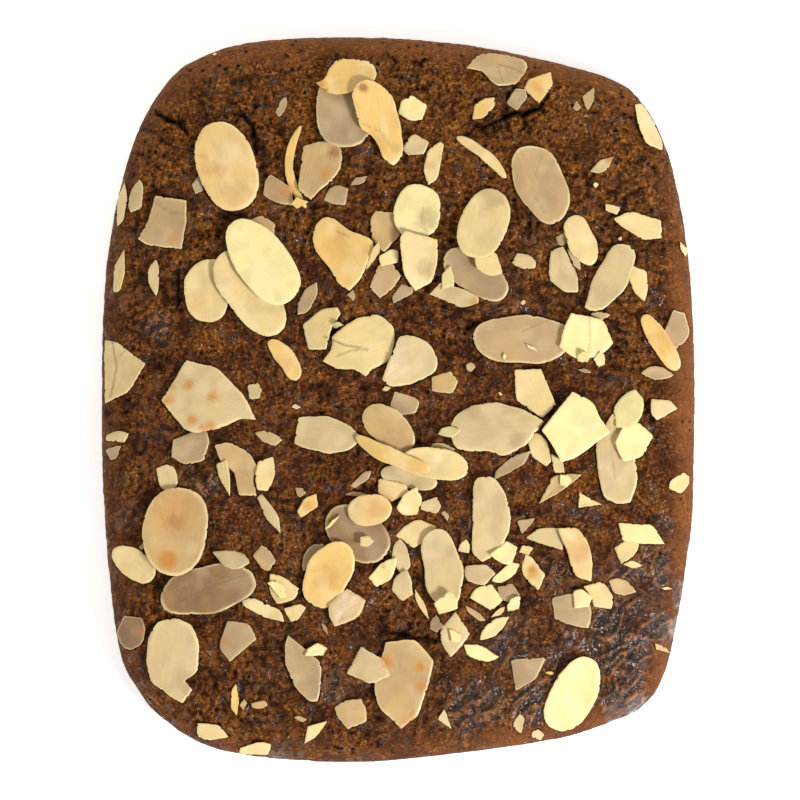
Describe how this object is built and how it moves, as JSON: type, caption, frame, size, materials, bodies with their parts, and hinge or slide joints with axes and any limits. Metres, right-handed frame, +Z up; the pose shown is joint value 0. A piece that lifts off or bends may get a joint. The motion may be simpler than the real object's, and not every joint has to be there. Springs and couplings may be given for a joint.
{
  "type": "speculaas cookie",
  "caption": "Thick rounded-rectangular slab of dark spiced biscuit, crown strewn with flaked almond slices and chips, flat underside.",
  "frame": {"origin": "middle of the flat underside, on the surface it rests on", "axes": "+Z up through the thickness, +Y along the longer side of the slab, +X along the shorter side"},
  "size_m": [0.1485, 0.181, 0.0215],
  "materials": {
    "baked_dough": "rough baked crumb, glossy in patches",
    "almond_flesh": "satin, faintly translucent"
  },
  "bodies": {
    "root": {"biscuit": "baked_dough", "almond_01": "almond_flesh", "almond_02": "almond_flesh", "almond_03": "almond_flesh", "almond_04": "almond_flesh", "almond_05": "almond_flesh", "almond_06": "almond_flesh", "almond_07": "almond_flesh", "almond_08": "almond_flesh", "almond_09": "almond_flesh", "almond_10": "almond_flesh", "almond_11": "almond_flesh", "almond_12": "almond_flesh", "almond_13": "almond_flesh", "almond_14": "almond_flesh", "almond_15": "almond_flesh", "almond_16": "almond_flesh", "almond_17": "almond_flesh", "almond_18": "almond_flesh", "almond_19": "almond_flesh", "almond_20": "almond_flesh", "almond_21": "almond_flesh", "almond_22": "almond_flesh", "almond_23": "almond_flesh", "almond_24": "almond_flesh", "almond_25": "almond_flesh", "almond_26": "almond_flesh", "almond_27": "almond_flesh", "almond_28": "almond_flesh", "almond_29": "almond_flesh", "almond_30": "almond_flesh", "almond_31": "almond_flesh", "almond_32": "almond_flesh", "almond_33": "almond_flesh", "almond_34": "almond_flesh", "almond_35": "almond_flesh", "almond_36": "almond_flesh", "almond_37": "almond_flesh", "almond_38": "almond_flesh", "almond_39": "almond_flesh", "almond_40": "almond_flesh", "almond_41": "almond_flesh", "almond_42": "almond_flesh", "almond_43": "almond_flesh", "almond_44": "almond_flesh", "almond_45": "almond_flesh", "almond_46": "almond_flesh", "almond_47": "almond_flesh", "almond_48": "almond_flesh", "almond_49": "almond_flesh", "almond_50": "almond_flesh", "almond_51": "almond_flesh", "almond_52": "almond_flesh", "almond_53": "almond_flesh", "almond_54": "almond_flesh", "almond_55": "almond_flesh", "almond_56": "almond_flesh"}
  },
  "joints": []
}
